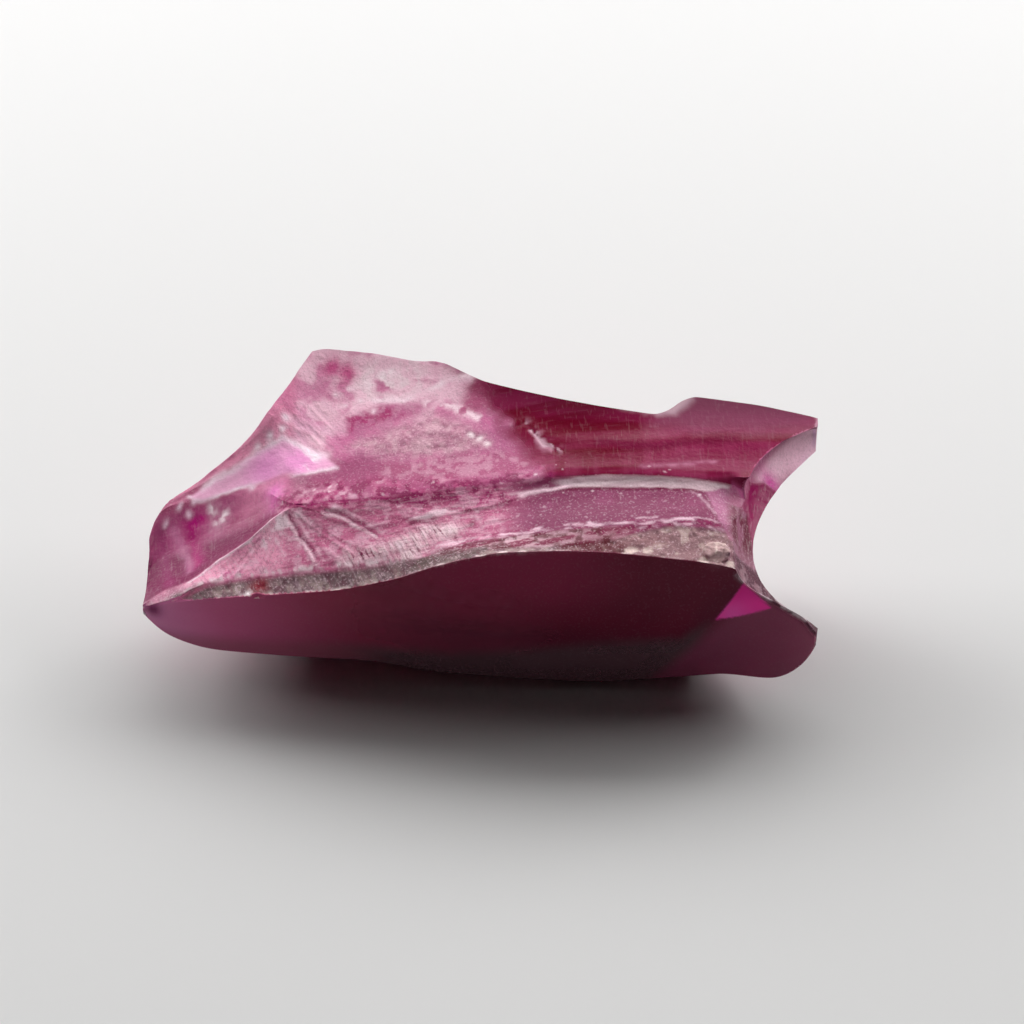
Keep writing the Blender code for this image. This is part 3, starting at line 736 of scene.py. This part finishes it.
def paint_right_end(c):
    """A pale triangle, a scratched wall, a deep pink window, the fin's chipped rim and the horn's strip; the
    knee and the horn's tip painted lighter, and the fin darker, against how the light falls.
    """
    r, plan = c.r, c.p[:, :2]
    top, bite = r["top"], r["bite"]
    c.area([(9.9, -2.2), (11.2, -1.65), (11.1, -3.4), (10.95, -4.7), (10.3, -3.7)], 0.06, (164, 102, 132),
           0.8)
    scratches = step(0.5, 0.72, ridged(turned(c.p, 78, "x") * (3.0, 0.35, 0.9), 1.0, 77, 2))
    c.lay((bite + r["back"]) * step(-1.2, -0.4, c.y) * step(13.6, 14.2, c.x), (226, 176, 198), 0.85,
          dust=0.15)
    c.lay(bite * step(-1.2, -0.4, c.y) * step(6.6, 7.5, c.z), (236, 190, 208), 0.85, dust=0.3, thread=0.15)
    c.lay(bite * step(7.9, 8.6, c.z + 0.3 * (13.6 - c.x)), (158, 88, 118), 0.8)
    c.lay(bite * dots(plan, [(12.8, -0.4)], 0.4), (196, 76, 150), 0.7)
    # Painted light: the concave corner at the step's end is painted pale, its pigment made lighter against
    # the shade there.
    knee = [(10.9, -1.9), (11.2, -2.6), (11.8, -2.6), (11.9, -1.65), (11.0, -1.6)]
    c.lay(top * patch(plan, knee, 0.1), (172, 84, 130), 0.85, lit=KNEE_LIT)
    wall = (bite + top * step(11.15, 11.35, c.x)) * patch(plan, WALL, 0.1)
    c.lay(wall, (94, 24, 54), 0.66, satin=0.35)
    c.lay(wall * scratches * 0.6, (160, 104, 130), 0.8)
    c.lay(wall * (1.0 - step(-5.0, -4.0, c.y)) * 0.6, (150, 106, 124), 0.85)
    c.lay(bite * patch(plan, WINDOW, 0.1), (132, 20, 80), 0.72, satin=0.2, dust=0.0)
    c.lay(bite * (1.0 - step(-5.2, -4.9, c.y)), (104, 78, 86), 0.95, satin=0.85)
    outer = 1.0 - step(-5.6, -5.2, c.y)
    # Painted shade: the fin's colours are made darker to offset the strong light that falls on its upturned
    # faces.
    fin = (top + bite) * step(10.9, 11.2, c.x)
    fin = fin * (1.0 - step(6.9, 7.3, c.z)) * (1.0 - step(-5.4, -5.0, c.y))
    c.lay(fin, (92, 66, 74), 0.9, satin=0.8, dust=0.15)
    c.lay(fin * step(0.45, 0.7, c.speckle) * 0.6, (156, 126, 134), 0.9)
    c.lay(fin * step(12.4, 13.2, c.x) * 0.8, (84, 56, 66), 0.85)
    c.lay(stroke(c.tall, FIN_RIM[:4], 0.08) * outer * r["front"], (226, 206, 212), 0.9)
    chipped = step(0.45, 0.6, c.speckle)
    c.lay(stroke(c.tall, FIN_RIM[3:], 0.2) * outer, (70, 40, 52), 0.7, satin=0.5)
    c.lay(stroke(c.tall, FIN_RIM[3:6], 0.16) * outer * chipped, (196, 176, 182), 0.92)
    # Painted light: the horn's tip faces away from the windows and is painted pale, its pigment made lighter
    # against that shade.
    tip = top * step(14.1, 14.4, c.x) * (1.0 - step(8.35, 8.5, c.z))
    c.lay(tip, (184, 134, 156), 0.9, lit=FRONT_LIT, satin=0.6)


def paint_front(c):
    """Glassy and nearly black, with painted light at its thin left tip, in the lobe and in a magenta glow
    beside the lobe, and a low band of painted shade.
    """
    r, x, z, tall = c.r, c.x, c.z, c.tall
    face = r["front"] * (1.0 - stroke(tall, FIN_RIM, 0.16)) * (1.0 - np.clip(1.6 * knob(c.p), 0.0, 1.0))
    film = 0.5 + 0.5 * fractal(c.p * (0.35, 1.0, 1.2), 1.0, 111, 3)

    def glaze(mask, colour, share=0.35, **others):
        c.lay(face * mask, colour, share, lit=FRONT_LIT, **others)

    glaze(np.ones(len(x)), (68, 28, 40), satin=0.08, dust=0.05, streak=0.0, comb=0.0, thread=0.0)
    glaze(step(0.0, 4.0, x), (60, 22, 33), 0.55)
    glaze(window(x, -3.0, 5.0, 2.5) * step(3.6, 6.5, z), (78, 24, 42), 0.45)
    # Painted light: lighter pink towards the thin left tip, for the light that shines through it.
    glaze(1.0 - step(-8.0, -1.0, x + 0.5 * (z - 3.5)), (94, 36, 52), 0.4)
    glaze(1.0 - step(-12.5, -5.0, x + 0.5 * (z - 3.5)), (146, 62, 90), 0.52)
    glaze(1.0 - step(-15.0, -11.0, x + 0.4 * (z - 3.5)), (150, 82, 112), 0.6)
    # Painted shade: the low band of the front is greyer and darker, for the shadowed paper that it reflects.
    shade_band = 1.0 - step(-0.5, 0.5, z - cross(SHADE_BAND_TOP, x))
    glaze(shade_band * (1.0 - step(9.0, 10.6, x)) * step(-9.0, -4.0, x), (58, 42, 47), 0.5)
    glaze(shade_band * (1.0 - step(-8.0, -3.0, x)) * 0.6, (92, 52, 62), 0.5)
    # Painted light: the thin lobe is painted lighter, for the light that comes through it.
    lobe = step(9.6, 10.8, x - 0.75 * (z - 4.0))
    glaze(lobe, (84, 40, 56), 0.42)
    glaze(lobe * step(12.5, 14.8, x) * 0.6, (98, 50, 66), 0.45)
    c.share += face * 0.06 * (film - 0.5)
    glaze(dots(tall, [(-14.5, 3.8)], 0.35), (70, 26, 52), 0.5)
    # Painted light: a magenta glow where the backlight comes through the thin fin, painted nearly opaque.
    painted_backlight = patch(tall, [(10.2, 4.5), (12.6, 5.1), (11.4, 6.6)], 0.05)
    glaze(painted_backlight, (164, 40, 104), 0.88, dust=0.0)
    glaze(painted_backlight * dots(tall, [(10.9, 4.8)], 0.7), (222, 58, 118), 0.88)
    glaze(painted_backlight * step(5.2, 6.4, z), (142, 32, 90), 0.88)


def painted(p, r):
    """The stone's coat, region by region."""
    coat = Coat(p, r)
    paint_far_faces(coat)
    paint_upper_slab(coat)
    paint_plateau(coat)
    paint_left_end(coat)
    paint_fan(coat)
    paint_terrace(coat)
    paint_lip(coat)
    paint_crushed_strip(coat)
    paint_right_end(coat)
    paint_front(coat)
    return coat


def keep(mesh, name, values):
    """Stores a number or a colour for each point, for the material to read."""
    if values.ndim == 1:
        attribute = mesh.attributes.new(name, "FLOAT", "POINT")
        attribute.data.foreach_set("value", values.astype(np.float32))
    else:
        attribute = mesh.attributes.new(name, "FLOAT_COLOR", "POINT")
        opaque = np.concatenate([values, np.ones((len(values), 1))], axis=1)
        attribute.data.foreach_set("color", opaque.astype(np.float32).ravel())


class Wiring:
    """Adds nodes to a material. What feeds a socket is a number, a colour or another node's output."""

    def __init__(self, material):
        material.use_nodes = True
        self.tree = material.node_tree
        self.tree.nodes.clear()
        self.place = self.node("TexCoord").outputs["Object"]

    def node(self, kind):
        return self.tree.nodes.new("ShaderNode" + kind)

    def feed(self, node, name, value):
        if isinstance(value, (float, tuple)):
            node.inputs[name].default_value = value
        else:
            self.tree.links.new(value, node.inputs[name])

    def read(self, name, output="Fac"):
        """What the skin keeps under this name."""
        node = self.node("Attribute")
        node.attribute_name = name
        return node.outputs[output]

    def maths(self, operation, first, second):
        node = self.node("Math")
        node.operation = operation
        self.feed(node, 0, first)
        self.feed(node, 1, second)
        return node.outputs["Value"]

    def mixed(self, share, first, second):
        node = self.node("Mix")
        node.data_type = "RGBA"
        for name, value in ((0, share), (6, first), (7, second)):
            self.feed(node, name, value)
        return node.outputs[2]

    def noise(self, scale, detail, stretch=None, turn=0.0):
        """Noise of about 1/scale metres, from 0 to 1, drawn out along a direction seen from above."""
        node = self.node("TexNoise")
        self.feed(node, "Scale", scale)
        self.feed(node, "Detail", detail)
        where = self.place
        if stretch:
            mapping = self.node("Mapping")
            mapping.vector_type = "TEXTURE"
            mapping.inputs["Rotation"].default_value[2] = math.radians(turn)
            self.feed(mapping, "Scale", stretch)
            self.feed(mapping, "Vector", where)
            where = mapping.outputs["Vector"]
        self.feed(node, "Vector", where)
        return node.outputs["Fac"]

    def ramp(self, value, low, high):
        node = self.node("MapRange")
        node.interpolation_type = "SMOOTHSTEP"
        self.feed(node, "Value", value)
        self.feed(node, "From Min", low)
        self.feed(node, "From Max", high)
        return node.outputs["Result"]


def line_patterns(w):
    """The pale lines, the deep lines and the ridges of all the line patterns, as strong as the coat says."""
    pale, deep, ridges = 0.0, 0.0, 0.0
    for name, turn in TURNS.items():
        lines, strength = w.noise(8000.0, 3.0, (7.0, 1.0, 1.7), turn), w.read(name)
        pale = w.maths("ADD", w.maths("MULTIPLY", w.ramp(lines, 0.54, 0.68), strength), pale)
        deep = w.maths("ADD", w.maths("MULTIPLY", w.ramp(lines, 0.46, 0.34), strength), deep)
        ridges = w.maths("ADD", w.maths("MULTIPLY", lines, strength), ridges)
    return pale, deep, ridges


def ruby_material():
    """Clear absorbing stone, with pigment and haze where the coat says, and fine dust and lines on it."""
    material = bpy.data.materials.new("ruby")
    w = Wiring(material)
    surface, within, bump = w.node("BsdfPrincipled"), w.node("VolumeAbsorption"), w.node("Bump")
    out = w.node("OutputMaterial")
    w.feed(out, "Surface", surface.outputs["BSDF"])
    w.feed(out, "Volume", within.outputs["Volume"])
    dust, satin = w.read("dust"), w.read("satin")
    grains = w.maths("MULTIPLY", w.ramp(w.noise(9500.0, 3.0), 0.54, 0.66), dust)
    pits = w.maths("MULTIPLY", w.ramp(w.noise(12500.0, 2.0), 0.44, 0.34), dust)
    pale_lines, deep_lines, ridges = line_patterns(w)
    colour = w.mixed(w.maths("MULTIPLY", pits, 0.6), w.read("tint", "Color"), DEEP)
    colour = w.mixed(w.maths("MULTIPLY", deep_lines, 0.8), colour, DEEP)
    colour = w.mixed(w.maths("MULTIPLY", pale_lines, 0.7), colour, PALE)
    w.feed(surface, "Base Color", w.mixed(w.maths("MULTIPLY", grains, 0.75), colour, PALE))
    pale = w.maths("MULTIPLY", w.maths("MAXIMUM", grains, pale_lines), 0.85)
    share = w.maths("MAXIMUM", w.read("share"), pale)
    w.feed(surface, "Transmission Weight", w.maths("SUBTRACT", 1.0, share))
    w.feed(surface, "Roughness", satin)
    w.feed(surface, "IOR", RUBY_IOR)
    w.feed(surface, "Specular IOR Level", 0.1)
    w.feed(surface, "Specular Tint", (0.08, 0.08, 0.08, 1.0))
    w.feed(within, "Color", PASSES)
    w.feed(within, "Density", ABSORPTION)
    w.feed(bump, "Distance", BUMP)
    w.feed(bump, "Strength", satin)
    w.feed(bump, "Height", w.maths("ADD", w.noise(6000.0, 4.0), ridges))
    w.feed(surface, "Normal", bump.outputs["Normal"])
    return material


def shaped(skin):
    """The skin's points in their final places inside the CAD box, and the regions that they belong to."""
    put_points(skin, relaxed(skin, points_of(skin), 10))
    co = slumped(skin, points_of(skin))
    put_points(skin, co)
    normals = normals_of(skin)
    found = regions(co, normals)
    co = co + normals * relief(co, found)[:, None]
    low, high = (np.array(corner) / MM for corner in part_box("ruby_crystal"))
    low[2] += AIR
    return np.clip(co, low, high), found


def crystal():
    """The stone: the CAD node's surface made fine, shaped and painted."""
    skin = fine_skin(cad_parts["ruby_crystal"])
    co, found = shaped(skin)
    coat = painted(co, found)
    keep(skin, "tint", coat.tint)
    keep(skin, "satin", np.clip(coat.satin, 0.05, 0.9))
    for name in ("share",) + Coat.PATTERNS:
        keep(skin, name, np.clip(getattr(coat, name), 0.0, 1.0))
    put_points(skin, co * MM)
    skin.polygons.foreach_set("use_smooth", [True] * len(skin.polygons))
    stone = bpy.data.objects.new("ruby_stone", skin)
    bpy.context.scene.collection.objects.link(stone)
    skin.materials.clear()
    skin.materials.append(ruby_material())
    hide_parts("ruby_crystal")
    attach(stone, "root")
    return stone


def paper():
    """The sheet of white paper that the stone lies on."""
    mesh = bpy.data.meshes.new("paper")
    corners = [(-PAPER, -PAPER, 0), (PAPER, -PAPER, 0), (PAPER, PAPER, 0), (-PAPER, PAPER, 0)]
    mesh.from_pydata(corners, [], [(0, 1, 2, 3)])
    floor = bpy.data.objects.new("paper", mesh)
    bpy.context.scene.collection.objects.link(floor)
    material = bpy.data.materials.new("paper")
    material.use_nodes = True
    surface = material.node_tree.nodes["Principled BSDF"]
    surface.inputs["Base Color"].default_value = (0.86, 0.855, 0.85, 1.0)
    surface.inputs["Roughness"].default_value = 0.9
    mesh.materials.append(material)


def light(name, place, size, power, only=None):
    """A soft lamp aimed at the stone. It can be kept to one object, so that it doesn't light the paper."""
    lamp = bpy.data.lights.new(name, "AREA")
    lamp.shape = "RECTANGLE"
    lamp.size = size[0] * MM
    lamp.size_y = size[1] * MM
    lamp.energy = power
    holder = bpy.data.objects.new(name, lamp)
    holder.location = Vector(place) * MM
    direction = Vector(LAMPS_AIM) - Vector(place)
    holder.rotation_euler = direction.to_track_quat("-Z", "Y").to_euler()
    bpy.context.scene.collection.objects.link(holder)
    if only:
        lit = bpy.data.collections.new(name + " lights")
        lit.objects.link(only)
        holder.light_linking.receiver_collection = lit


def around(azimuth, elevation):
    """A lamp's place, azimuth 0 behind the stone and 90 to its right."""
    a, e = math.radians(azimuth), math.radians(elevation)
    direction = (math.sin(a) * math.cos(e), math.cos(a) * math.cos(e), math.sin(e))
    return tuple(part * LAMPS_AWAY for part in direction)


def room(stone):
    """Soft windows behind and beside the stone, and a card that lights its front alone."""
    world = bpy.data.worlds.new("room")
    world.use_nodes = True
    background = world.node_tree.nodes["Background"]
    background.inputs["Color"].default_value = (1.0, 0.99, 0.98, 1.0)
    background.inputs["Strength"].default_value = 0.012
    bpy.context.scene.world = world
    light("window", around(0, 40), (540, 172), 0.95)
    light("left window", around(-60, 26), (200, 110), 0.38)
    light("right window", around(60, 26), (200, 110), 0.34)
    light("card", around(180, 72), (210, 210), 0.26, only=stone)
    bpy.context.scene.view_settings.view_transform = "Standard"


def photo_camera():
    """The photograph's view."""
    lens = bpy.data.cameras.new("camera")
    lens.lens = FOCAL_LENGTH
    lens.sensor_width = SENSOR
    lens.clip_start = 0.01
    camera = bpy.data.objects.new("camera", lens)
    up = math.radians(CAMERA_UP)
    back = Vector((0.0, -math.cos(up), math.sin(up)))
    camera.location = (Vector(TARGET) + back * CAMERA_AWAY) * MM
    camera.rotation_euler = (math.radians(90.0 - CAMERA_UP), 0.0, 0.0)
    bpy.context.scene.collection.objects.link(camera)
    bpy.context.scene.camera = camera


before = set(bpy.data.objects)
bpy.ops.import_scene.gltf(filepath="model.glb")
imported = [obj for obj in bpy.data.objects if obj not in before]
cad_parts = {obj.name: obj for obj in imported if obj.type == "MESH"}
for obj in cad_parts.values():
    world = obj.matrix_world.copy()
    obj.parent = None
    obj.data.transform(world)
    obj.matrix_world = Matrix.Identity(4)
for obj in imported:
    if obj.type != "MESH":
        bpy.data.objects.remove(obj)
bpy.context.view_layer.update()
stone = crystal()
paper()
room(stone)
photo_camera()
